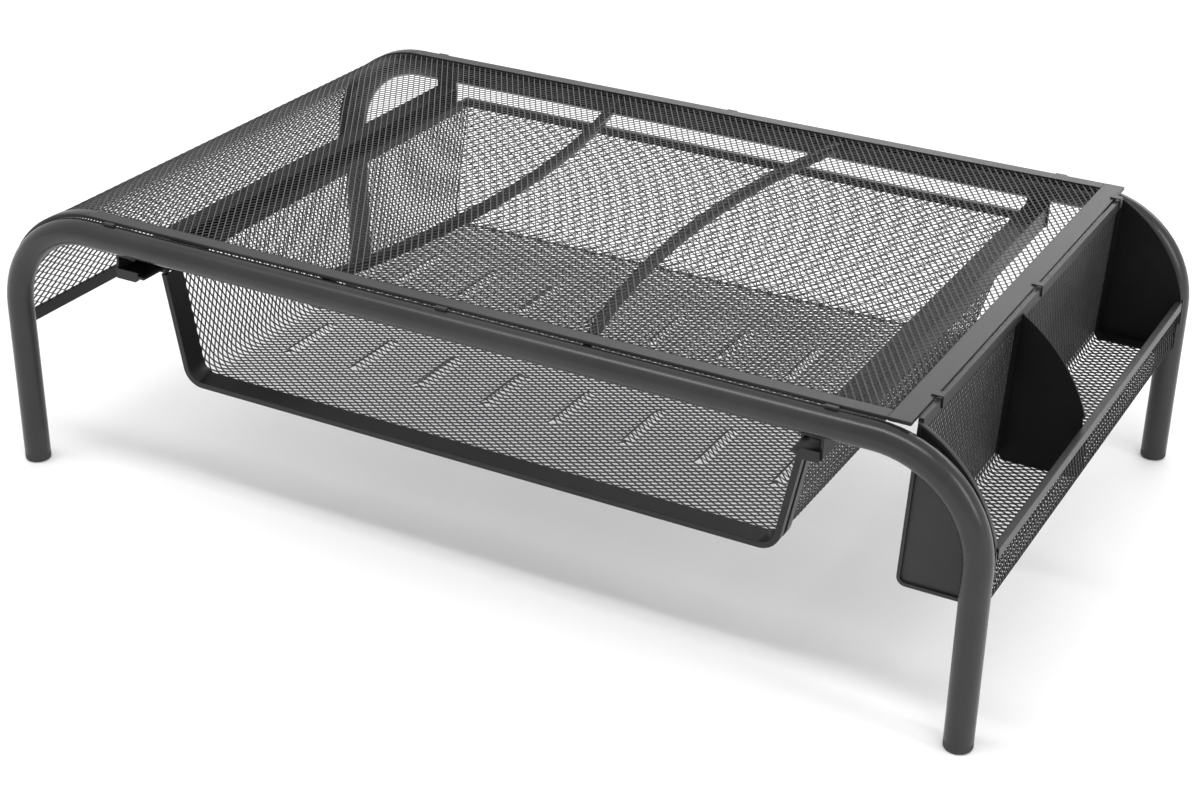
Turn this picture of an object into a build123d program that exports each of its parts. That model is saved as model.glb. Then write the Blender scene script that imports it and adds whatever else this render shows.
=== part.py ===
from build123d import *
import os
from math import sqrt

# Metal-mesh monitor stand: two bent tube loops carry an expanded-metal deck whose left end wraps
# down as a skirt. A mesh drawer slides on two channel rails under the deck, and a mesh pocket
# tray hangs between the right-hand bends.
# +X runs to the pocket end, the drawer opens towards -Y, +Z is up, and the origin is on the
# floor under the middle of the bounding box. Millimetres.

# ---- driving dimensions ----
# tube loops
tube_radius = 6.35
tube_wall = 1.2
loop_length = 488.0          # leg axis to leg axis
loop_spacing = 287.0         # front loop axis to rear loop axis
tube_axis_height = 132.0     # axis of the level run
bend_radius = 47.5
foot_height = 4.0

# deck sheet and the folded strips round it
mesh_thickness = 0.9
strip_gap = 0.05             # air between the tube and the strip over it
strip_thickness = 1.7
strip_slot = 1.0             # slot that the sheet sits in
strip_width = 7.2
front_strip_edge = 2.0       # strip's outer edge behind the front tube axis
rear_strip_edge = 1.6        # strip's outer edge behind the rear tube axis
end_strip_width = 10.0
end_strip_inset = 33.2       # right strip's outer edge, inside the right leg axis
hem_bottom = 68.0
hem_height = 6.5
tab_pitch = 181.0
tab_width = 6.0
tab_reach = 2.4
brace_width = 4.0
brace_height = 4.6
brace_end_x = 66.0
brace_bow = 18.0

# drawer and its rails
rail_middle = -1.0           # middle of the two rails
rail_outer_x = 178.2
rail_width = 11.0
rail_height = 10.6
rail_wall = 1.2
drawer_top_half = 163.3
drawer_bottom_half = 152.8
drawer_floor = 60.5
drawer_top = 115.4
drawer_front_inset = 23.0    # basket front, behind the front tube axis
drawer_back_floor = 250.0    # rear end of the basket's floor, behind the front tube axis
drawer_back_top = 282.0      # rear end of the basket's top
frame_strip = 3.0
frame_outset = 1.2           # frame's outline, outside the basket
frame_depth = 12.0
frame_ridge = 4.2            # front ridge of the folded frame, before its groove
frame_groove = 2.8
frame_groove_floor = 1.2     # steel left at the bottom of the groove
glide_height = 5.0           # blocks on the drawer that close the lower half of each rail's mouth
glide_inner = 3.5            # glide's inner end, outside the basket's top edge
glide_corner = 2.2
bead_count = 8
bead_pitch = 37.4
bead_length = 38.0
bead_width = 5.5
bead_rise = 1.6
bead_rows = (79.0, 178.0)    # bead centres behind the front tube axis
runner_clearance = 0.3

# pocket tray
plate_thickness = 1.2
plate_gap = 1.6              # plate face, inside the tube's side
pocket_floor = 63.5
pocket_back_foot = 35.5      # foot of the back wall, inside the right leg axis
pocket_back_top = 32.2       # top of the back wall, inside the right leg axis
pocket_lip_out = 4.0         # lip, outside the right leg axis
pocket_lip_top = 91.0
pocket_corner = 4.0
pocket_strip_height = 4.5    # folded strip along the top of the back wall
flange_thickness = 1.0
rear_flange = 6.0
divider_flange = 4.5
leg_clip_height = 13.0
divider_back = 127.0         # divider, behind the front tube axis
hook_places = (30.0, 153.5, 272.0)

# ---- levels and places worked out from them ----
skirt_reach = tube_radius + strip_gap + strip_thickness
left_leg = -(loop_length + tube_radius + skirt_reach) / 2 + skirt_reach
right_leg = left_leg + loop_length
front_axis = -loop_spacing / 2
rear_axis = loop_spacing / 2
bend_height = tube_axis_height - bend_radius
tube_top = tube_axis_height + tube_radius
tube_bottom = tube_axis_height - tube_radius
strip_bottom = tube_top + strip_gap
strip_top = strip_bottom + strip_thickness
strip_leaf = (strip_thickness - strip_slot) / 2
deck_right = right_leg - end_strip_inset
deck_front = front_axis + front_strip_edge
deck_rear = rear_axis + rear_strip_edge
rail_top = tube_bottom - 0.05
rail_bottom = rail_top - rail_height
runner_bottom = rail_bottom + rail_wall + runner_clearance
drawer_front = front_axis + drawer_front_inset
drawer_middle = left_leg + loop_length / 2
sides = (("left", -1), ("right", 1))

parts = {}


def box(x, y, z):
    """Box between two corners, each axis given as a (low, high) pair."""
    low = min(x), min(y), min(z)
    size = max(x) - low[0], max(y) - low[1], max(z) - low[2]
    return Pos(*low) * Box(*size, align=(Align.MIN, Align.MIN, Align.MIN))


def along_y(profile, y0, y1):
    """Extrude a profile drawn as (x, z) from y0 to y1."""
    wall = Plane(origin=(0, y1, 0), x_dir=(1, 0, 0), z_dir=(0, -1, 0))
    return extrude(wall * profile, amount=y1 - y0)


# ---- tube loops and feet ----
def tube_loop(y):
    """One bent tube: left leg, level run, right leg."""
    path = FilletPolyline(
        (left_leg, y, foot_height),
        (left_leg, y, tube_axis_height),
        (right_leg, y, tube_axis_height),
        (right_leg, y, foot_height),
        radius=bend_radius,
    )
    foot_plane = Plane(origin=(left_leg, y, foot_height), z_dir=(0, 0, 1))
    ring = Circle(tube_radius) - Circle(tube_radius - tube_wall)
    return sweep(foot_plane * ring, path=path)


def foot_cap(x, y):
    """Plug-in foot: a rounded button with a stem up the tube."""
    button = Cylinder(tube_radius, foot_height, align=(Align.CENTER, Align.CENTER, Align.MIN))
    button = fillet(button.edges().group_by(Axis.Z)[0], 1.4)
    stem = Cylinder(tube_radius - tube_wall - 0.05, 9, align=(Align.CENTER, Align.CENTER, Align.MIN))
    return Pos(x, y, 0) * (button + Pos(0, 0, foot_height) * stem)


parts["front_tube_frame"] = tube_loop(front_axis)
parts["rear_tube_frame"] = tube_loop(rear_axis)
for end, y in (("front", front_axis), ("rear", rear_axis)):
    for side, x in (("left", left_leg), ("right", right_leg)):
        parts[f"foot_cap_{end}_{side}"] = foot_cap(x, y)


# ---- deck: sheet, folded strips, skirt hem, weld tabs, braces ----
def wrap_band(low, high, x_end, z_end):
    """Band that runs level, round the left bend and down the skirt, between two offsets from
    the tube's outside."""
    centre_x = left_leg + bend_radius
    inner = bend_radius + tube_radius + strip_gap + low
    outer = bend_radius + tube_radius + strip_gap + high
    outline = [
        Line((x_end, bend_height + outer), (centre_x, bend_height + outer)),
        CenterArc((centre_x, bend_height), outer, 90, 90),
        Line((centre_x - outer, bend_height), (centre_x - outer, z_end)),
        Line((centre_x - outer, z_end), (centre_x - inner, z_end)),
        Line((centre_x - inner, z_end), (centre_x - inner, bend_height)),
        CenterArc((centre_x, bend_height), inner, 180, -90),
        Line((centre_x, bend_height + inner), (x_end, bend_height + inner)),
        Line((x_end, bend_height + inner), (x_end, bend_height + outer)),
    ]
    return make_face(outline)


sheet_low = (strip_thickness - mesh_thickness) / 2
sheet_high = sheet_low + mesh_thickness
fold = 2.0                   # the sheet stops this far inside a strip's folded edge
parts["deck_mesh"] = along_y(
    wrap_band(sheet_low, sheet_high, deck_right - fold, hem_bottom + fold),
    deck_front + fold,
    deck_rear - fold,
)


def long_strip(y_fold, y_open):
    """Folded strip along a long edge of the sheet, its slot open towards y_open."""
    x_end = deck_right - end_strip_width
    z_end = hem_bottom + hem_height
    toward = 1 if y_open > y_fold else -1
    body = along_y(wrap_band(0, strip_thickness, x_end, z_end), min(y_fold, y_open), max(y_fold, y_open))
    slot_band = wrap_band(strip_leaf, strip_leaf + strip_slot, x_end + 1, z_end - 1)
    slot_y = sorted((y_fold + toward * 0.8, y_open + toward))
    return body - along_y(slot_band, *slot_y)


parts["deck_front_strip"] = long_strip(deck_front, deck_front + strip_width)
parts["deck_rear_strip"] = long_strip(deck_rear, deck_rear - strip_width)

parts["deck_right_strip"] = box(
    (deck_right - end_strip_width, deck_right), (deck_front, deck_rear), (strip_bottom, strip_top)
) - box(
    (deck_right - end_strip_width - 1, deck_right - 0.8),
    (deck_front + 0.8, deck_rear - 0.8),
    (strip_bottom + strip_leaf, strip_bottom + strip_leaf + strip_slot),
)

skirt_outer = left_leg - skirt_reach
skirt_inner = left_leg - tube_radius - strip_gap
parts["skirt_hem_strip"] = box(
    (skirt_outer, skirt_inner), (deck_front, deck_rear), (hem_bottom, hem_bottom + hem_height)
) - box(
    (skirt_outer + strip_leaf, skirt_outer + strip_leaf + strip_slot),
    (deck_front + 0.8, deck_rear - 0.8),
    (hem_bottom + 0.8, hem_bottom + hem_height + 1),
)

for end, y_strip, y_far in (
    ("front", deck_front, deck_front - tab_reach),
    ("rear", deck_rear, deck_rear + tab_reach),
):
    straps = []
    for place in (-1, 0, 1):
        x = place * tab_pitch - 2
        straps.append(
            box((x - tab_width / 2, x + tab_width / 2), (y_far, y_strip), (tube_top + 0.05, strip_top - 0.5))
        )
    parts[f"{end}_weld_tabs"] = Compound(children=straps)

brace_half = loop_spacing / 2 - tube_radius - 0.05
brace_radius = (brace_half**2 + brace_bow**2) / (2 * brace_bow)
for side, sign in sides:
    middle_x = sign * (brace_end_x - brace_bow)
    centre_x = middle_x + sign * brace_radius
    ring = Cylinder(brace_radius + brace_width / 2, brace_height) - Cylinder(
        brace_radius - brace_width / 2, brace_height
    )
    ring = Pos(centre_x, 0, strip_bottom - 0.05 - brace_height / 2) * ring
    window = box((sign * 30, sign * 90), (-brace_half, brace_half), (tube_bottom, strip_top))
    parts[f"{side}_brace"] = ring & window


# ---- rails under the tubes ----
rail_front = front_axis - 1.0
rail_rear = rear_axis - tube_radius - 2.0
for side, sign in sides:
    web_x = rail_middle + sign * rail_outer_x
    mouth_x = rail_middle + sign * (rail_outer_x - rail_width)
    rail = box((web_x, mouth_x), (rail_front, rail_rear), (rail_bottom, rail_top))
    rail -= box(
        (web_x - sign * rail_wall, mouth_x - sign),
        (rail_front - 1, rail_rear + 1),
        (rail_bottom + rail_wall, rail_top - rail_wall),
    )
    parts[f"{side}_rail"] = rail
    plate = box(
        (web_x + sign, mouth_x), (rail_rear, rail_rear + 1.6), (rail_bottom, tube_axis_height + 1)
    )
    parts[f"{side}_rail_bracket"] = plate
    stop_x = web_x - sign * rail_wall
    parts[f"{side}_rail_stop"] = box(
        (stop_x, stop_x - sign * 6), (rail_front + 4, rail_front + 7), (rail_top - rail_wall - 3, rail_top - rail_wall)
    )


# ---- drawer ----
def basket_solid(inset):
    """Tapered block between the floor and the top: the basket's outside when inset is 0."""
    floor_half = drawer_bottom_half - inset
    top_half = drawer_top_half - inset
    floor_z = drawer_floor + inset
    front = drawer_front - (5 if inset else 0)
    back_floor = front_axis + drawer_back_floor - inset
    back_top = front_axis + drawer_back_top - inset
    top_z = drawer_top + (5 if inset else 0)
    steep = (top_z - floor_z) / (drawer_top - drawer_floor)
    top_half = floor_half + (top_half - floor_half) * steep
    back_top = back_floor + (back_top - back_floor) * steep

    def level(half, back, z):
        corners = Polyline((-half, front), (half, front), (half, back), (-half, back), close=True)
        return Plane(origin=(0, 0, z), z_dir=(0, 0, 1)) * make_face(corners)

    block = loft([level(floor_half, back_floor, floor_z), level(top_half, back_top, top_z)])
    long_edges = block.edges().group_by(Axis.Z)[0].filter_by(Axis.Y)
    back_edge = block.edges().group_by(Axis.Z)[0].group_by(Axis.Y)[-1]
    return fillet(long_edges + back_edge, 8.0 - inset)


basket = basket_solid(0) - basket_solid(mesh_thickness)
for row in bead_rows:
    for place in range(bead_count):
        x = (place - (bead_count - 1) / 2) * bead_pitch
        at = Pos(x, front_axis + row, drawer_floor)
        ridge = extrude(Rot(0, 0, 90) * SlotOverall(bead_length, bead_width), amount=bead_rise + mesh_thickness)
        hollow = extrude(Rot(0, 0, 90) * SlotOverall(bead_length - 1.8, bead_width - 1.8), amount=bead_rise)
        basket = basket + at * ridge - at * hollow
centred = Pos(drawer_middle, 0, 0)
parts["drawer_basket"] = centred * basket


def frame_outline(outset, top_z):
    """U outline in (x, z) round the drawer's front opening, rounded at its two lower corners."""
    lean = (drawer_top_half - drawer_bottom_half) / (drawer_top - drawer_floor)
    bottom_z = drawer_floor - outset
    bottom_half = drawer_bottom_half + outset * (1 - lean)
    top_half = bottom_half + lean * (top_z - bottom_z)
    outline = make_face(
        Polyline(
            (-top_half, top_z), (-bottom_half, bottom_z), (bottom_half, bottom_z), (top_half, top_z), close=True
        )
    )
    return fillet(outline.vertices().group_by(Axis.Y)[0], 9.0 + outset)


frame_top = rail_bottom - 0.4
opening_edge = frame_strip - frame_outset
ring = frame_outline(frame_outset, frame_top) - frame_outline(-opening_edge, frame_top + 8)
front_frame = along_y(ring, drawer_front - frame_depth, drawer_front)
groove = frame_outline(frame_outset, frame_top) - frame_outline(frame_groove_floor - opening_edge, frame_top + 8)
groove_y = drawer_front - frame_depth + frame_ridge
front_frame -= along_y(groove, groove_y, groove_y + frame_groove)
parts["drawer_front_frame"] = centred * front_frame

runner_rear = rail_rear - 1.0
for side, sign in sides:
    top_edge = drawer_middle + sign * drawer_top_half
    flange_x = rail_middle + sign * (rail_outer_x - rail_wall - 1.0)
    rim = box(
        (top_edge - sign * 1.6, top_edge + sign * 1.2),
        (drawer_front - frame_depth, front_axis + drawer_back_top - 2.4),
        (drawer_top, drawer_top + 4.4),
    )
    runner = box(
        (top_edge, flange_x), (rail_front - 1.6, runner_rear), (runner_bottom, runner_bottom + 1.2)
    )
    lug = box(
        (flange_x, flange_x - sign * 5), (runner_rear - 3, runner_rear), (runner_bottom, rail_top - rail_wall - 1)
    )
    glide = box(
        (top_edge + sign * glide_inner, flange_x + sign * 1.4),
        (rail_front - 1.6, rail_front - 0.2),
        (rail_bottom - 0.6, rail_bottom - 0.6 + glide_height),
    )
    glide_low_edges = glide.edges().filter_by(Axis.Y).group_by(Axis.Z)[0].sort_by(Axis.X)
    glide = fillet(glide_low_edges[0 if sign > 0 else -1], glide_corner)
    parts[f"drawer_{side}_runner"] = rim + runner + lug + glide

parts["drawer_rear_rim"] = box(
    (drawer_middle - drawer_top_half - 1.2, drawer_middle + drawer_top_half + 1.2),
    (front_axis + drawer_back_top - 2.4, front_axis + drawer_back_top + 1.2),
    (drawer_top, drawer_top + 4.4),
)


# ---- pocket tray ----
lip_x = right_leg + pocket_lip_out
back_foot = right_leg - pocket_back_foot
back_top = right_leg - pocket_back_top
back_top_z = strip_bottom - 0.1
front_plate_y = front_axis + tube_radius + plate_gap
rear_plate_y = rear_axis - tube_radius - plate_gap
tray_front = front_plate_y + plate_thickness
tray_rear = rear_plate_y - plate_thickness


def tray_path(offset):
    """Centre line of the tray sheet, seen along Y, moved inwards by offset."""
    return FilletPolyline(
        (back_top + offset, back_top_z),
        (back_foot + offset, pocket_floor + offset),
        (lip_x - offset, pocket_floor + offset),
        (lip_x - offset, pocket_lip_top - 1),
        radius=pocket_corner - offset,
    )


outer_path = tray_path(0)
inner_path = tray_path(mesh_thickness)
tray_section = make_face(
    [
        outer_path,
        inner_path,
        Line(outer_path @ 0, inner_path @ 0),
        Line(outer_path @ 1, inner_path @ 1),
    ]
)
parts["pocket_tray_mesh"] = along_y(tray_section, tray_front, tray_rear)

back_strip_outer = back_top + 1.6
back_strip = box(
    (back_top - 0.8, back_strip_outer),
    (tray_front, tray_rear),
    (back_top_z - pocket_strip_height, back_top_z + 0.9),
)
back_strip_slot = box(
    (back_top - 0.45, back_top + 0.95),
    (tray_front - 1, tray_rear + 1),
    (back_top_z - pocket_strip_height - 1, back_top_z + 0.05),
)
parts["pocket_back_strip"] = back_strip - back_strip_slot


def flange(y0, y1):
    """Band that lies against the inside of the tray sheet, from y0 to y1."""
    outside = tray_path(mesh_thickness + 0.05)
    inside_line = tray_path(mesh_thickness + 0.05 + flange_thickness)
    section = make_face(
        [
            outside,
            inside_line,
            Line(outside @ 0, inside_line @ 0),
            Line(outside @ 1, inside_line @ 1),
        ]
    )
    low_wall = box((back_top - 5, lip_x + 1), (y0, y1), (pocket_floor, pocket_lip_top - 5.5))
    high_wall = box((back_top - 5, back_top + 6), (y0, y1), (pocket_floor, back_top_z - pocket_strip_height - 0.3))
    return along_y(section, y0, y1) & (low_wall + high_wall)


def quarter_plate(inset, bottom_radius):
    """Quarter-round plate outline in (x, z): straight back, flat bottom, curved front edge."""
    left_top = (back_top + inset, back_top_z - inset)
    left_foot = (back_foot + inset, pocket_floor + inset)
    right_foot = (lip_x - inset, pocket_floor + inset)
    right_top = (lip_x - inset, pocket_lip_top + 2)
    shoulder = (right_leg - 11.5 - inset, 122.5 - inset)
    outline = make_face(
        [
            Line(left_top, left_foot),
            Line(left_foot, right_foot),
            Line(right_foot, right_top),
            ThreePointArc(right_top, shoulder, left_top),
        ]
    )
    return fillet(outline.vertices().group_by(Axis.Y)[0], bottom_radius)


plate_outline = quarter_plate(0, pocket_corner)
hem_ring = plate_outline - quarter_plate(1.6, pocket_corner - 1.6)
for end, y0, outward in (("front", front_plate_y, -1), ("rear", tray_rear, 1)):
    plate = along_y(plate_outline, y0, y0 + plate_thickness)
    outer_face = y0 if outward < 0 else y0 + plate_thickness
    hem = along_y(hem_ring, *sorted((outer_face, outer_face + outward * 1.2)))
    parts[f"pocket_{end}_plate"] = plate + hem
parts["pocket_rear_plate"] += flange(tray_rear - rear_flange, tray_rear)

inside = mesh_thickness + 0.1
divider_y = front_axis + divider_back
divider = along_y(quarter_plate(inside, pocket_corner), divider_y, divider_y + plate_thickness)
divider -= box((lip_x - 2.5, lip_x + 1), (front_axis, rear_axis), (pocket_lip_top - 6, pocket_lip_top + 4))
divider -= box(
    (deck_right, back_strip_outer + 0.1),
    (front_axis, rear_axis),
    (back_top_z - pocket_strip_height - 0.1, back_top_z),
)
wall_side = box((back_foot - 1, back_top + 5), (front_axis, rear_axis), (pocket_floor + 6, back_top_z))
lip_side = box((lip_x - 9, lip_x), (front_axis, rear_axis), (pocket_floor, pocket_lip_top))
divider += flange(divider_y - divider_flange, divider_y) & wall_side
divider += flange(divider_y + plate_thickness, divider_y + plate_thickness + divider_flange) & lip_side
parts["pocket_divider"] = divider

lip_strip = box((lip_x - 2.2, lip_x + 1.0), (tray_front, tray_rear), (pocket_lip_top - 5, pocket_lip_top))
lip_slot = box(
    (lip_x - mesh_thickness - 0.05, lip_x + 0.05),
    (tray_front - 1, tray_rear + 1),
    (pocket_lip_top - 6, pocket_lip_top - 0.9),
)
parts["pocket_lip_strip"] = lip_strip - lip_slot

hooks = []
for place in hook_places:
    y = front_axis + place
    over = box((deck_right - 2, back_strip_outer + 0.85), (y - 2, y + 2), (strip_top + 0.05, strip_top + 0.65))
    down = box(
        (back_strip_outer + 0.05, back_strip_outer + 0.85),
        (y - 2, y + 2),
        (back_top_z - 3, strip_top + 0.05),
    )
    hooks.append(over + down)
parts["pocket_hooks"] = Compound(children=hooks)

clips = []
for y_tray, y_tube in ((tray_front, front_axis), (tray_rear, rear_axis)):
    outward = -1 if y_tube < y_tray else 1
    gap_to_leg = sqrt(tube_radius**2 - 3.0**2) + 0.1
    clips.append(
        box(
            (right_leg + 3.0, lip_x + 1.0),
            (y_tray + outward * (plate_thickness + 1.25), y_tube - outward * gap_to_leg),
            (pocket_lip_top - leg_clip_height, pocket_lip_top),
        )
    )
parts["pocket_leg_clips"] = Compound(children=clips)


# ---- write one STEP per sub-part ----
os.makedirs("parts", exist_ok=True)
for name, shape in parts.items():
    export_step(shape, f"parts/{name}.step")
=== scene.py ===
from math import cos, hypot, radians, sin

import bpy
import numpy as np
from mathutils import Matrix, Vector


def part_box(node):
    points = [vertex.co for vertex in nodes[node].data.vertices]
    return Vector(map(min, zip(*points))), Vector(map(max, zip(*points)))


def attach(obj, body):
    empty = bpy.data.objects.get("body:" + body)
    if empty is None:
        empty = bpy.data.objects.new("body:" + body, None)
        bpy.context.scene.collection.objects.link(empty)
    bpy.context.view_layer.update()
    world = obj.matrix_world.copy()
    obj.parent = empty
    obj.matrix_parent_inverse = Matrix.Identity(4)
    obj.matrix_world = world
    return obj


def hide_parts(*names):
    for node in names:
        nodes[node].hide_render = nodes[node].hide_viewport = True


# Looks for the mesh monitor stand: real expanded metal for the deck, drawer and pocket tray,
# powder-coat materials on every CAD piece, floor, light and camera. Metres.

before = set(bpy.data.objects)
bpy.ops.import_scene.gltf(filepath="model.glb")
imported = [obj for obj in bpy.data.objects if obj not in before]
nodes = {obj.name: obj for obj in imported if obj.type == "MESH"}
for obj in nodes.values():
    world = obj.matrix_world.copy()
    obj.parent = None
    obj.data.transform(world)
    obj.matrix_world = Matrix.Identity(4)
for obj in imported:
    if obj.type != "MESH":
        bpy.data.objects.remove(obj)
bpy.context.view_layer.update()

MM = 0.001

# ---- expanded metal ----
LONG_WAY = 5.8 * MM          # diamond, along its long diagonal
SHORT_WAY = 3.5 * MM         # diamond, along its short diagonal
STRAND = 0.63 * MM
SHEET = 0.42 * MM
DECK_TILT = 0.28 * MM        # rise at each hole's end, on the deck
BIN_TILT = -0.10 * MM        # the same, on the drawer and the pocket tray
END_TRIM = 0.62              # share of a strand's width taken off each long end of a hole
SIDE_TRIM = 0.98             # the same at each short end
SLIVER = 0.1 * MM            # faces smaller than this squared are left out
SHORT_EDGE = 0.05 * MM       # edges shorter than this get no wall
HOLES_PER_PIECE = 6000       # in one mesh object, about


def bent_line(corners, radius):
    """Line in a plane through corners, each rounded to radius. Returns its length and a function
    that turns distances along it into points and left-hand normals."""
    corners = [np.array(c, float) for c in corners]
    runs = []
    at = corners[0]
    for before, corner, after in zip(corners, corners[1:], corners[2:]):
        enter = (corner - before) / np.linalg.norm(corner - before)
        leave = (after - corner) / np.linalg.norm(after - corner)
        turn = np.arctan2(enter[0] * leave[1] - enter[1] * leave[0], enter @ leave)
        cut = radius * np.tan(abs(turn) / 2)
        start = corner - enter * cut
        runs.append(("line", at, enter, np.linalg.norm(start - at), 0.0))
        runs.append(("arc", start, enter, radius * abs(turn), turn))
        at = corner + leave * cut
    last = corners[-1] - at
    runs.append(("line", at, last / np.linalg.norm(last), np.linalg.norm(last), 0.0))
    length = sum(r[3] for r in runs)

    def place(distance):
        distance = np.asarray(distance, float)
        points = np.zeros(distance.shape + (2,))
        normals = np.zeros(distance.shape + (2,))
        begin = 0.0
        for kind, start, direction, span, turn in runs:
            here = (distance >= begin - 1e-9) & (distance <= begin + span + 1e-9)
            d = (distance[here] - begin)[:, None]
            left = np.array((-direction[1], direction[0]))
            if kind == "line":
                points[here] = start + d * direction
                normals[here] = left
            else:
                side = np.sign(turn)
                angle = d / radius
                middle = start + side * radius * left
                outward = -side * left * np.cos(angle) + direction * np.sin(angle)
                points[here] = middle + radius * outward
                normals[here] = -side * outward
            begin += span
        return points, normals

    return length, place


def expanded_metal(name, body, long_span, short_span, surface, tilt, trim=None):
    """Mesh objects of expanded metal. long_span and short_span are the ranges of the sheet's own
    coordinates, along the diamonds' long and short diagonals; surface turns them into points and
    normals; tilt is the rise at each hole's end; trim moves coordinates outside the sheet's
    outline back onto it."""
    half_long, half_short = LONG_WAY / 2, SHORT_WAY / 2
    lean = hypot(half_long, half_short)
    reach_long = half_long - STRAND * lean / (2 * half_short) * END_TRIM
    reach_short = half_short - STRAND * lean / (2 * half_long) * SIDE_TRIM
    columns = int((long_span[1] - long_span[0]) / half_long) + 3
    rows = int((short_span[1] - short_span[0]) / half_short) + 3
    i, j = np.meshgrid(np.arange(columns), np.arange(rows), indexing="ij")
    is_hole = (i + j) % 2 == 1
    number = np.full((columns, rows), -1)
    number[is_hole] = np.arange(is_hole.sum())
    centre = np.stack(
        (long_span[0] + (i[is_hole] - 1) * half_long, short_span[0] + (j[is_hole] - 1) * half_short), 1
    )
    # each hole's four corners: right, top, left, bottom
    offsets = np.array(((reach_long, 0), (0, reach_short), (-reach_long, 0), (0, -reach_short)))
    flat = (centre[:, None] + offsets).reshape(-1, 2)
    flat[:, 0] = np.clip(flat[:, 0], *long_span)
    flat[:, 1] = np.clip(flat[:, 1], *short_span)
    if trim:
        flat = trim(flat)
    lift = np.tile((0.0, tilt, 0.0, -tilt), len(centre))[:, None]
    points, normals = surface(flat[:, 0], flat[:, 1])
    above = points + normals * (lift + SHEET / 2)
    below = points + normals * (lift - SHEET / 2)

    def hole(di, dj):
        """Number of the hole di columns and dj rows on from each hole, or -1."""
        x, y = i[is_hole] + di, j[is_hole] + dj
        inside = (x >= 0) & (x < columns) & (y >= 0) & (y < rows)
        return np.where(inside, number[x.clip(0, columns - 1), y.clip(0, rows - 1)], -1)

    own, up_right, down_right, right = hole(0, 0), hole(1, 1), hole(1, -1), hole(2, 0)
    RIGHT, TOP, LEFT, BOTTOM = range(4)

    def quads(*corners):
        found = np.stack([h * 4 + c for h, c in corners], 1)
        return found[np.min([h for h, c in corners], axis=0) >= 0]

    surface_quads = np.concatenate(
        (
            quads((own, RIGHT), (up_right, BOTTOM), (up_right, LEFT), (own, TOP)),
            quads((own, BOTTOM), (down_right, LEFT), (down_right, TOP), (own, RIGHT)),
            quads((own, RIGHT), (down_right, TOP), (right, LEFT), (up_right, BOTTOM)),
        )
    )
    shape = flat[surface_quads]
    diagonal_a, diagonal_b = shape[:, 2] - shape[:, 0], shape[:, 3] - shape[:, 1]
    area = abs(diagonal_a[:, 0] * diagonal_b[:, 1] - diagonal_a[:, 1] * diagonal_b[:, 0]) / 2
    surface_quads = surface_quads[area > SLIVER**2]

    count = len(flat)
    edges = np.stack((np.arange(count).reshape(-1, 4), np.roll(np.arange(count).reshape(-1, 4), -1, 1)), 2)
    edges = edges.reshape(-1, 2)
    edges = edges[np.linalg.norm(flat[edges[:, 0]] - flat[edges[:, 1]], axis=1) > SHORT_EDGE]
    walls = np.stack((edges[:, 0], edges[:, 1], edges[:, 1] + count, edges[:, 0] + count), 1)
    faces = np.concatenate((surface_quads, surface_quads[:, ::-1] + count, walls))
    vertices = np.concatenate((above, below))

    # a few mesh objects side by side, so that none is too heavy
    pieces = max(1, round(len(centre) / HOLES_PER_PIECE))
    place_along = flat[faces[:, 0] % count, 1]
    bounds_along = np.linspace(short_span[0], short_span[1], pieces + 1)[1:-1]
    belongs = np.searchsorted(bounds_along, place_along)
    made = []
    for part in range(pieces):
        chosen = faces[belongs == part]
        used, compact = np.unique(chosen, return_inverse=True)
        mesh = bpy.data.meshes.new(f"{name}_{part + 1}")
        mesh.from_pydata(vertices[used].tolist(), [], compact.reshape(-1, 4).tolist())
        mesh.update()
        piece = bpy.data.objects.new(f"{name}_{part + 1}", mesh)
        bpy.context.scene.collection.objects.link(piece)
        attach(piece, body)
        made.append(piece)
    return made


# deck: the sheet runs level, round the left bend and down the skirt
WRAP_RADIUS = 54.75 * MM     # middle of the sheet, round the left bend
HALF_SHEET = 0.45 * MM
deck_low, deck_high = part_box("deck_mesh")
deck_length, deck_line = bent_line(
    (
        (deck_high.x, deck_high.z - HALF_SHEET),
        (deck_low.x + HALF_SHEET, deck_high.z - HALF_SHEET),
        (deck_low.x + HALF_SHEET, deck_low.z),
    ),
    WRAP_RADIUS,
)


def deck_surface(along_y, along_line):
    flat, normal = deck_line(along_line)
    points = np.stack((flat[:, 0], along_y, flat[:, 1]), 1)
    return points, np.stack((-normal[:, 0], 0 * along_y, -normal[:, 1]), 1)


deck = expanded_metal(
    "deck_grille", "stand", (deck_low.y, deck_high.y), (0, deck_length), deck_surface, DECK_TILT
)

# drawer: floor and sides are one bent sheet, the sloped back another
FLOOR_HALF = 152.8 * MM
BACK_FLOOR_INSET = 32.0 * MM
BASKET_CORNER = 8.0 * MM
BEADS = 8
BEAD_PITCH = 37.4 * MM
BEAD_LENGTH = 38.0 * MM
BEAD_WIDTH = 5.5 * MM
BEAD_RISE = 2.4 * MM
BEAD_ROWS = (56.0 * MM, 155.0 * MM)      # behind the basket's front edge
basket_low, basket_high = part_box("drawer_basket")
basket_floor = basket_low.z + HALF_SHEET
basket_middle = (basket_low.x + basket_high.x) / 2
cross_length, cross_line = bent_line(
    (
        (basket_low.x + HALF_SHEET, basket_high.z),
        (basket_middle - FLOOR_HALF + HALF_SHEET, basket_floor),
        (basket_middle + FLOOR_HALF - HALF_SHEET, basket_floor),
        (basket_high.x - HALF_SHEET, basket_high.z),
    ),
    BASKET_CORNER,
)
back_length, back_line = bent_line(
    (
        (basket_low.y, basket_floor),
        (basket_high.y - BACK_FLOOR_INSET - HALF_SHEET, basket_floor),
        (basket_high.y - HALF_SHEET, basket_high.z),
    ),
    BASKET_CORNER,
)
samples = np.linspace(0, back_length, 4000)
back_points = back_line(samples)[0]
rise_starts = np.argmax(back_points[:, 1] > basket_floor + 1e-6)
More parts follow.
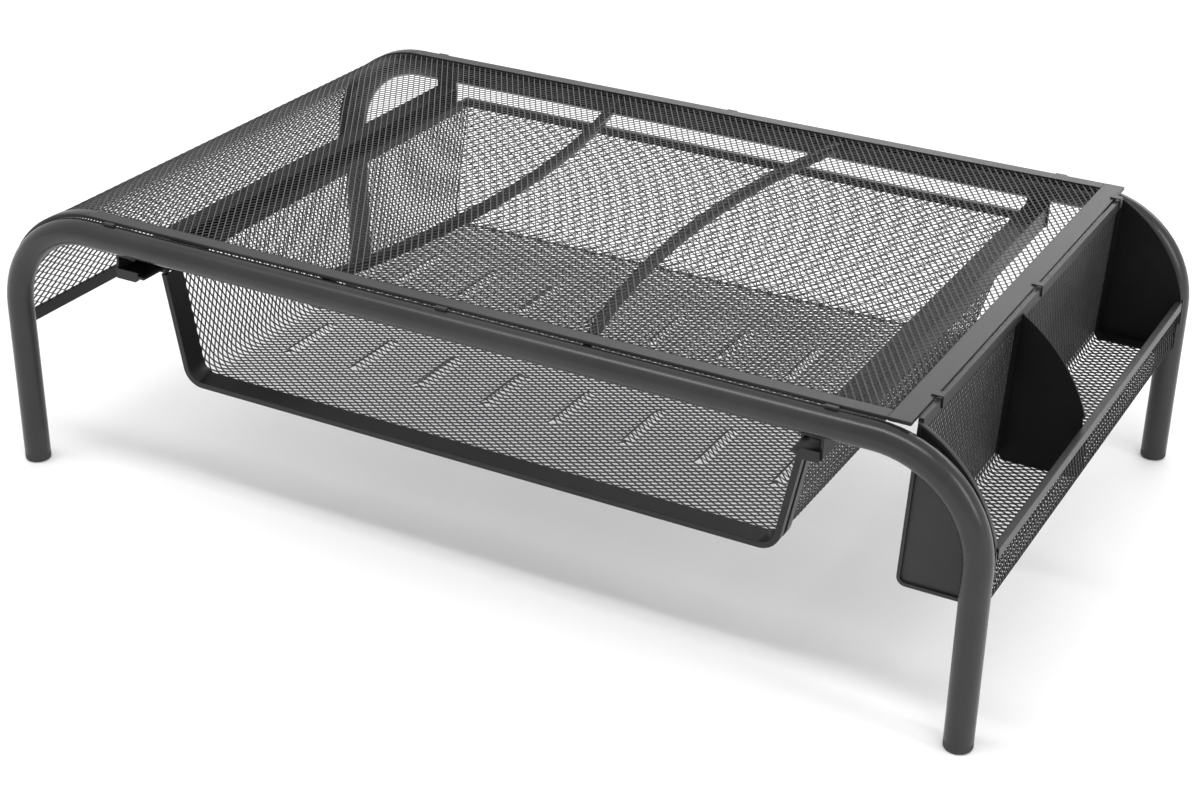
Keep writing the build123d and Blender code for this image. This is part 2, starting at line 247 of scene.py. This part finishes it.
half_samples = np.linspace(cross_length / 2, cross_length, 4000)
side_points = cross_line(half_samples)[0]


def bead_height(x, y):
    """Height of the embossed ridges over the drawer floor."""
    height = np.zeros(len(x))
    for row in BEAD_ROWS:
        for place in range(BEADS):
            bead_x = basket_middle + (place - (BEADS - 1) / 2) * BEAD_PITCH
            bead_y = basket_low.y + row
            straight = (BEAD_LENGTH - BEAD_WIDTH) / 2
            away = np.hypot(x - bead_x, np.maximum(abs(y - bead_y) - straight, 0))
            height += BEAD_RISE * np.cos(np.clip(away / (BEAD_WIDTH / 2), 0, 1) * np.pi / 2) ** 2
    return height


def basket_surface(across, along_y):
    flat, normal = cross_line(across)
    level = flat[:, 1] < basket_floor + 1e-6
    raised = flat[:, 1] + np.where(level, bead_height(flat[:, 0], along_y), 0)
    points = np.stack((flat[:, 0], along_y, raised), 1)
    return points, np.stack((normal[:, 0], 0 * along_y, normal[:, 1]), 1)


def basket_trim(flat):
    """Ends the floor and sides where they meet the sloped back."""
    height = cross_line(flat[:, 0])[0][:, 1]
    limit = np.interp(height, back_points[rise_starts:, 1], back_points[rise_starts:, 0])
    return np.stack((flat[:, 0], np.minimum(flat[:, 1], limit)), 1)


def back_surface(across, along_line):
    flat, normal = back_line(along_line)
    points = np.stack((across, flat[:, 0], flat[:, 1]), 1)
    return points, np.stack((0 * across, normal[:, 0], normal[:, 1]), 1)


def back_trim(flat):
    """Ends the sloped back where it meets the sides."""
    height = back_line(flat[:, 1])[0][:, 1]
    half = np.interp(height, side_points[:, 1], side_points[:, 0]) - basket_middle
    return np.stack((np.clip(flat[:, 0], basket_middle - half, basket_middle + half), flat[:, 1]), 1)


basket = expanded_metal(
    "drawer_grille",
    "drawer",
    (0, cross_length),
    (basket_low.y, basket_high.y),
    basket_surface,
    BIN_TILT,
    basket_trim,
)
basket += expanded_metal(
    "drawer_back_grille",
    "drawer",
    (basket_low.x + HALF_SHEET, basket_high.x - HALF_SHEET),
    (samples[rise_starts], back_length),
    back_surface,
    BIN_TILT,
    back_trim,
)

# pocket tray: back wall, floor and lip are one bent sheet
BACK_WALL_LEAN = 3.3 * MM
TRAY_CORNER = 4.0 * MM
tray_low, tray_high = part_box("pocket_tray_mesh")
tray_length, tray_line = bent_line(
    (
        (tray_low.x + BACK_WALL_LEAN + HALF_SHEET, tray_high.z),
        (tray_low.x + HALF_SHEET, tray_low.z + HALF_SHEET),
        (tray_high.x - HALF_SHEET, tray_low.z + HALF_SHEET),
        (tray_high.x - HALF_SHEET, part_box("pocket_lip_strip")[1].z - MM),
    ),
    TRAY_CORNER,
)


def tray_surface(across, along_y):
    flat, normal = tray_line(across)
    points = np.stack((flat[:, 0], along_y, flat[:, 1]), 1)
    return points, np.stack((normal[:, 0], 0 * along_y, normal[:, 1]), 1)


tray = expanded_metal(
    "pocket_grille", "stand", (0, tray_length), (tray_low.y, tray_high.y), tray_surface, BIN_TILT
)

for pieces, node in ((deck, "deck_mesh"), (basket, "drawer_basket"), (tray, "pocket_tray_mesh")):
    for piece in pieces:
        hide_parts(node)


# ---- materials ----
def new_material(name):
    material = bpy.data.materials.new(name)
    material.use_nodes = True
    tree = material.node_tree
    return material, tree, tree.nodes["Principled BSDF"]


def node(tree, kind, **values):
    made = tree.nodes.new(kind)
    for key, value in values.items():
        if hasattr(made, key):
            setattr(made, key, value)
        else:
            made.inputs[key.replace("_", " ")].default_value = value
    return made


PAINT_GRAIN = 1400.0         # noise scale of the paint's orange peel
GRILLE_GRAIN = 900.0
CLOUD_SCALE = 22.0
SHEEN_SPREAD = 0.06          # roughness varies this much each way


def powder_coat(name, dark, light, rough, shine, grain=PAINT_GRAIN, bump=0.25):
    """Painted surface: fine orange-peel grain, soft cloudy tone and uneven sheen."""
    material, tree, shader = new_material(name)
    link = tree.links.new
    place = node(tree, "ShaderNodeTexCoord").outputs["Object"]

    cloud = node(tree, "ShaderNodeTexNoise", Scale=CLOUD_SCALE, Detail=4.0, Roughness=0.6)
    link(place, cloud.inputs["Vector"])
    speck = node(tree, "ShaderNodeTexNoise", Scale=grain, Detail=2.0)
    link(place, speck.inputs["Vector"])
    mixed = node(tree, "ShaderNodeMath", operation="MULTIPLY_ADD")
    link(speck.outputs["Fac"], mixed.inputs[0])
    mixed.inputs[1].default_value = 0.45
    link(cloud.outputs["Fac"], mixed.inputs[2])
    tone = node(tree, "ShaderNodeValToRGB")
    tone.color_ramp.elements[0].position = 0.45
    tone.color_ramp.elements[0].color = (*dark, 1)
    tone.color_ramp.elements[1].position = 1.0
    tone.color_ramp.elements[1].color = (*light, 1)
    link(mixed.outputs[0], tone.inputs["Fac"])
    link(tone.outputs["Color"], shader.inputs["Base Color"])

    sheen = node(tree, "ShaderNodeMapRange")
    sheen.inputs["To Min"].default_value = rough - SHEEN_SPREAD
    sheen.inputs["To Max"].default_value = rough + SHEEN_SPREAD
    link(cloud.outputs["Fac"], sheen.inputs["Value"])
    link(sheen.outputs["Result"], shader.inputs["Roughness"])

    peel = node(tree, "ShaderNodeTexNoise", Scale=grain, Detail=3.0, Roughness=0.55)
    link(place, peel.inputs["Vector"])
    relief = node(tree, "ShaderNodeBump", Strength=bump, Distance=0.0001)
    link(peel.outputs["Fac"], relief.inputs["Height"])
    link(relief.outputs["Normal"], shader.inputs["Normal"])
    shader.inputs["Metallic"].default_value = 0.0
    shader.inputs["Specular IOR Level"].default_value = shine
    return material


tube_coat = powder_coat("tube_powder_coat", (0.007, 0.007, 0.0073), (0.017, 0.017, 0.0174), 0.28, shine=0.5)
deck_coat = powder_coat(
    "deck_grille_powder_coat", (0.040, 0.040, 0.041), (0.070, 0.070, 0.071),
    0.36, shine=0.5, grain=GRILLE_GRAIN
)
basket_coat = powder_coat(
    "drawer_grille_powder_coat", (0.030, 0.030, 0.031), (0.056, 0.056, 0.057),
    0.36, shine=0.5, grain=GRILLE_GRAIN
)
# painted shade: the pocket grille is given a darker copy of the grille paint, for the shade inside the
# pocket
tray_coat_painted_shade = powder_coat(
    "pocket_grille_powder_coat_painted_shade", (0.018, 0.018, 0.0185), (0.038, 0.038, 0.039),
    0.4, shine=0.4, grain=GRILLE_GRAIN
)
strip_coat = powder_coat(
    "strip_powder_coat", (0.012, 0.012, 0.0125), (0.028, 0.028, 0.0285), 0.38, shine=0.35, bump=0.45
)
# painted shade: the rear plate and the divider are given a darker copy of the plate paint, for the shade
# deep in the pocket
plate_coat_painted_shade = powder_coat("plate_powder_coat_painted_shade", (0.003, 0.003, 0.003), (0.008, 0.008, 0.008), 0.5, shine=0.12)
# painted light: the pocket's front plate is given a lighter copy of the plate paint, as if more lit than
# the other plates
front_plate_coat_painted_light = powder_coat(
    "front_plate_powder_coat_painted_light", (0.010, 0.010, 0.0105), (0.022, 0.022, 0.0225), 0.45, shine=0.4
)
frame_coat = powder_coat("frame_powder_coat", (0.005, 0.005, 0.005), (0.012, 0.012, 0.012), 0.3, shine=0.35)
foot_plastic = powder_coat(
    "foot_plastic", (0.020, 0.020, 0.021), (0.030, 0.030, 0.031), 0.6, shine=0.4, grain=2200.0, bump=0.15
)


def coat_for(name):
    """The material of each CAD piece."""
    if name.startswith("foot_cap"):
        return foot_plastic
    if name.endswith("tube_frame"):
        return tube_coat
    # the front plate takes the lighter copy of the plate paint, which paints in light
    if name == "pocket_front_plate":
        return front_plate_coat_painted_light
    # the rear plate and the divider take the darker copy of the plate paint, which paints in shade
    if name in ("pocket_rear_plate", "pocket_divider"):
        return plate_coat_painted_shade
    if any(word in name for word in ("rail", "brace", "drawer", "hem")):
        return frame_coat
    return strip_coat


for name, piece in nodes.items():
    piece.data.materials.clear()
    piece.data.materials.append(coat_for(name))
for pieces, coat in ((deck, deck_coat), (basket, basket_coat), (tray, tray_coat_painted_shade)):
    for piece in pieces:
        piece.data.materials.append(coat)

# folded and cut edges are softened a little
EDGE_SOFTENING = 0.35 * MM
for name, piece in nodes.items():
    if name.endswith("tube_frame") or name.startswith("foot_cap"):
        continue
    weld = piece.modifiers.new("join", "WELD")
    weld.merge_threshold = 0.01 * MM
    bevel = piece.modifiers.new("soft_edges", "BEVEL")
    bevel.width = EDGE_SOFTENING
    bevel.segments = 2
    bevel.limit_method = "ANGLE"
    bevel.angle_limit = radians(40)
    bevel.harden_normals = True


# ---- floor, light and camera ----
def plain_material(name, colour, rough):
    material, tree, shader = new_material(name)
    shader.inputs["Base Color"].default_value = (*colour, 1)
    shader.inputs["Roughness"].default_value = rough
    return material


FLOOR_REACH = 12.0
floor_mesh = bpy.data.meshes.new("floor")
floor_mesh.from_pydata(
    [
        (-FLOOR_REACH, -FLOOR_REACH, 0),
        (FLOOR_REACH, -FLOOR_REACH, 0),
        (FLOOR_REACH, FLOOR_REACH, 0),
        (-FLOOR_REACH, FLOOR_REACH, 0),
    ],
    [],
    [(0, 1, 2, 3)],
)
floor = bpy.data.objects.new("floor", floor_mesh)
floor.data.materials.append(plain_material("floor_white", (0.93, 0.93, 0.93), 0.6))
bpy.context.scene.collection.objects.link(floor)

world = bpy.data.worlds.new("studio")
world.use_nodes = True
world.node_tree.nodes["Background"].inputs["Color"].default_value = (1.0, 1.0, 1.0, 1)
world.node_tree.nodes["Background"].inputs["Strength"].default_value = 0.95
bpy.context.scene.world = world
bpy.context.scene.view_settings.view_transform = "Standard"


def softbox(name, place, target, size, power):
    light = bpy.data.lights.new(name, "AREA")
    light.shape = "RECTANGLE"
    light.size, light.size_y = size
    light.energy = power
    lamp = bpy.data.objects.new(name, light)
    lamp.location = place
    lamp.rotation_euler = (Vector(target) - Vector(place)).to_track_quat("-Z", "Y").to_euler()
    bpy.context.scene.collection.objects.link(lamp)
    return lamp


softbox("overhead", (0.0, -0.6, 2.0), (0, 0, 0), (2.2, 0.3), 20)
softbox("back", (0.1, 2.2, 1.0), (0, 0, 0.1), (2.6, 0.3), 11)
softbox("right", (2.0, -0.3, 1.0), (0.2, 0, 0.1), (0.3, 1.2), 9)

CAMERA_PLACE = (0.4539, -0.8525, 0.5293)
CAMERA_HEADING = 28.05       # degrees round from +Y towards -X
CAMERA_DOWN = 27.25
CAMERA_ROLL = 1.07
camera_data = bpy.data.cameras.new("camera")
camera_data.sensor_width = 36.0
camera_data.lens = 65.0
camera_data.clip_start = 0.05
camera_data.clip_end = 60.0
camera = bpy.data.objects.new("camera", camera_data)
camera.location = CAMERA_PLACE
heading, down, roll = radians(CAMERA_HEADING), radians(CAMERA_DOWN), radians(CAMERA_ROLL)
look = Vector((-sin(heading) * cos(down), cos(heading) * cos(down), -sin(down)))
level_right = look.cross(Vector((0, 0, 1))).normalized()
level_up = level_right.cross(look)
right = level_right * cos(roll) + level_up * sin(roll)
up = level_up * cos(roll) - level_right * sin(roll)
camera.rotation_euler = Matrix((right, up, -look)).transposed().to_euler()
bpy.context.scene.collection.objects.link(camera)
bpy.context.scene.camera = camera
